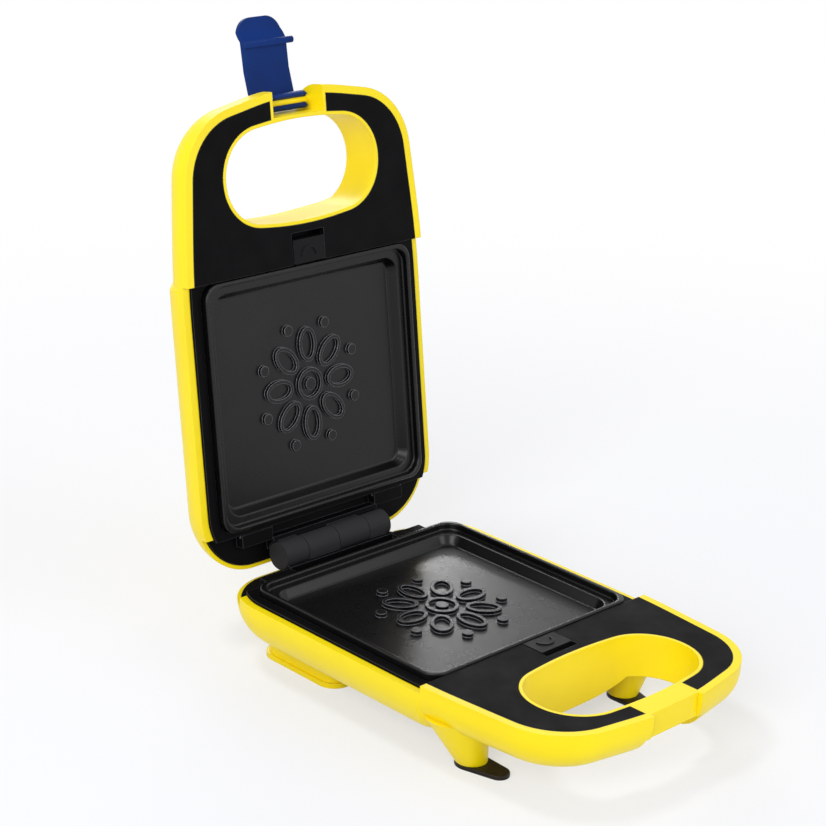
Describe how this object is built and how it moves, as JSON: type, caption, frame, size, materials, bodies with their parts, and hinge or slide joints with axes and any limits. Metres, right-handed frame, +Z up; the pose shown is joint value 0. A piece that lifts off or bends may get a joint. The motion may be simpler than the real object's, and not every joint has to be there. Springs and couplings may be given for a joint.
{
  "type": "sandwich maker",
  "caption": "Hinged electric sandwich maker with a yellow casing, two removable embossed plates, finger-hole handle and a blue latch",
  "frame": {"origin": "on the floor under the middle of the lower plate", "axes": "+Z up, -Y towards the handle, +Y towards the hinge, X across"},
  "size_m": [0.1492, 0.2865, 0.2868],
  "materials": {
    "yellow_shell": "satin gloss",
    "black_moulding": "fine grain, matt",
    "button_plastic": "satin",
    "non_stick": "dark non-stick coating, semi-gloss",
    "heater_steel": "dull, heat-stained",
    "tray_steel": "bright sheet",
    "zinc_steel": "zinc plated",
    "spring_steel": "bright wire",
    "pin_steel": "bright",
    "blue_latch": "satin gloss",
    "red_lens": "clear tinted",
    "green_lens": "clear tinted",
    "black_rubber": "matt",
    "brown_pad": "matt",
    "ceramic": "unglazed"
  },
  "bodies": {
    "base": {"lower_casing": "yellow_shell", "lower_bezel": "black_moulding", "lower_plate": "non_stick", "lower_heater": "heater_steel", "lower_heater_clips": "zinc_steel", "lower_reflector_tray": "tray_steel", "lower_thermostat": "zinc_steel", "lower_thermal_fuse": "tray_steel", "lower_release_springs": "spring_steel", "lower_casing_screws": "zinc_steel", "lower_tray_screws": "zinc_steel", "terminal_block": "ceramic", "hinge_pin": "pin_steel", "cord_gland": "black_rubber", "foot_pads": "brown_pad", "cord_wrap_foot": "yellow_shell", "cord_wrap_screws": "zinc_steel", "foot_pad_screws": "zinc_steel"},
    "lid": {"upper_casing": "yellow_shell", "upper_bezel": "black_moulding", "upper_plate": "non_stick", "upper_heater": "heater_steel", "upper_heater_clips": "zinc_steel", "upper_reflector_tray": "tray_steel", "upper_thermostat": "zinc_steel", "upper_thermal_fuse": "tray_steel", "upper_release_springs": "spring_steel", "upper_casing_screws": "zinc_steel", "upper_tray_screws": "zinc_steel", "power_lamp": "red_lens", "ready_lamp": "green_lens"},
    "latch": {"latch": "blue_latch"},
    "lower_button": {"lower_release_button": "button_plastic"},
    "upper_button": {"upper_release_button": "button_plastic"}
  },
  "joints": [
    {"name": "lid_hinge", "type": "hinge", "parent": "base", "child": "lid", "pos_m": [0, 0.077, 0.042], "axis": [1, 0, 0], "range_deg": [0, 99]},
    {"name": "latch_hinge", "type": "hinge", "parent": "lid", "child": "latch", "pos_m": [0, 0.12305, 0.24965], "axis": [1, 0, 0], "range_deg": [0, 98]},
    {"name": "lower_button_slide", "type": "slide", "parent": "base", "child": "lower_button", "axis": [0, -1, 0], "range_m": [0, 0.003], "stiffness_N_per_m": 400, "springref_m": -0.003, "deforming": ["lower_release_springs"]},
    {"name": "upper_button_slide", "type": "slide", "parent": "lid", "child": "upper_button", "axis": [0, 0.1564, 0.9877], "range_m": [0, 0.003], "stiffness_N_per_m": 400, "springref_m": -0.003, "deforming": ["upper_release_springs"]}
  ]
}
